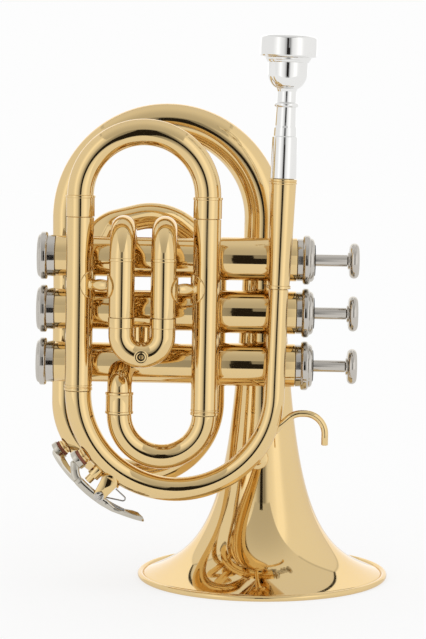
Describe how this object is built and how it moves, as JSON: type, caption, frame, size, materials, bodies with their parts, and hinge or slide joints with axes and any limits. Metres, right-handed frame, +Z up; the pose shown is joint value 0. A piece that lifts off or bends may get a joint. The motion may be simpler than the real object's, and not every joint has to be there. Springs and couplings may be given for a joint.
{
  "type": "pocket trumpet",
  "caption": "Pocket trumpet standing on its bell: tightly wound brass tubing, piston valves with finger buttons, pull-out slides, water key and a removable mouthpiece.",
  "frame": {"origin": "middle of the outline's floor rectangle, at the height of the bell's rim", "axes": "+Z up along the bell, +X along the valves towards the finger buttons, +Y from the first slide's side towards the bell's side"},
  "size_m": [0.1698, 0.1252, 0.2624],
  "materials": {
    "lacquered_brass": "polished under clear gold lacquer",
    "silver_plate": "bright silver plating",
    "nickel_plate": "bright nickel plating",
    "spring_steel": "drawn wire",
    "cork": "dense reddish brown cork, matt"
  },
  "bodies": {
    "instrument": {"bell": "lacquered_brass", "bell_bow": "lacquered_brass", "bell_tail_bow": "lacquered_brass", "bell_tail_crook": "lacquered_brass", "leadpipe": "lacquered_brass", "mouthpiece_receiver": "lacquered_brass", "tuning_outer_left": "lacquered_brass", "tuning_outer_right": "lacquered_brass", "entry_bow": "lacquered_brass", "entry_elbow": "lacquered_brass", "knuckle_1_2": "lacquered_brass", "knuckle_2_3": "lacquered_brass", "first_slide_outer_left": "lacquered_brass", "first_slide_outer_right": "lacquered_brass", "second_slide_outer_left": "lacquered_brass", "second_slide_outer_right": "lacquered_brass", "third_slide_outer_left": "lacquered_brass", "third_slide_outer_right": "lacquered_brass", "slide_brace_left": "lacquered_brass", "slide_brace_right": "lacquered_brass", "bell_brace": "lacquered_brass", "finger_hook": "lacquered_brass", "water_key_saddle": "lacquered_brass", "valve_casing_1": "lacquered_brass", "valve_casing_2": "lacquered_brass", "valve_casing_3": "lacquered_brass", "valve_guide_1": "lacquered_brass", "valve_guide_2": "lacquered_brass", "valve_guide_3": "lacquered_brass", "bottom_cap_1": "nickel_plate", "bottom_cap_2": "nickel_plate", "bottom_cap_3": "nickel_plate", "top_cap_1": "nickel_plate", "top_cap_2": "nickel_plate", "top_cap_3": "nickel_plate", "water_key_screw": "nickel_plate", "valve_spring_1": "spring_steel", "valve_spring_2": "spring_steel", "valve_spring_3": "spring_steel", "water_key_spring": "spring_steel"},
    "tuning_slide": {"tuning_slide": "lacquered_brass"},
    "first_slide": {"first_slide": "lacquered_brass", "first_slide_knob": "lacquered_brass"},
    "second_slide": {"second_slide": "lacquered_brass"},
    "third_slide": {"third_slide": "lacquered_brass"},
    "water_key": {"water_key_lever": "silver_plate", "cork_1": "cork", "cork_2": "cork"},
    "mouthpiece": {"mouthpiece": "silver_plate"},
    "valve_1": {"piston_1": "nickel_plate", "valve_stem_1": "nickel_plate", "finger_button_1": "nickel_plate"},
    "valve_2": {"piston_2": "nickel_plate", "valve_stem_2": "nickel_plate", "finger_button_2": "nickel_plate"},
    "valve_3": {"piston_3": "nickel_plate", "valve_stem_3": "nickel_plate", "finger_button_3": "nickel_plate"}
  },
  "joints": [
    {"name": "valve_1_press", "type": "slide", "parent": "instrument", "child": "valve_1", "axis": [-0.9999, 0, 0.0148], "range_m": [0, 0.0155], "stiffness_N_per_m": 80, "springref_m": -0.03, "deforming": ["valve_spring_1"]},
    {"name": "valve_2_press", "type": "slide", "parent": "instrument", "child": "valve_2", "axis": [-0.9999, 0, 0.0148], "range_m": [0, 0.0155], "stiffness_N_per_m": 80, "springref_m": -0.03, "deforming": ["valve_spring_2"]},
    {"name": "valve_3_press", "type": "slide", "parent": "instrument", "child": "valve_3", "axis": [-0.9999, 0, 0.0148], "range_m": [0, 0.0155], "stiffness_N_per_m": 80, "springref_m": -0.03, "deforming": ["valve_spring_3"]},
    {"name": "tuning_slide_pull", "type": "slide", "parent": "instrument", "child": "tuning_slide", "axis": [0.0148, 0, 0.9999], "range_m": [0, 0.03]},
    {"name": "first_slide_pull", "type": "slide", "parent": "instrument", "child": "first_slide", "axis": [-0.0148, 0, -0.9999], "range_m": [0, 0.018]},
    {"name": "second_slide_pull", "type": "slide", "parent": "instrument", "child": "second_slide", "axis": [0, 1, 0], "range_m": [0, 0.004]},
    {"name": "third_slide_pull", "type": "slide", "parent": "instrument", "child": "third_slide", "axis": [0.0148, 0, 0.9999], "range_m": [0, 0.022]},
    {"name": "water_key_hinge", "type": "hinge", "parent": "instrument", "child": "water_key", "pos_m": [-0.05407, -0.04114, 0.047], "axis": [0, -1, 0], "range_deg": [0, 11], "stiffness_Nm_per_rad": 0.06, "springref_deg": -28.65},
    {"name": "mouthpiece_pull", "type": "slide", "parent": "instrument", "child": "mouthpiece", "axis": [0.0358, 0, 0.9994], "range_m": [0, 0.02]}
  ]
}
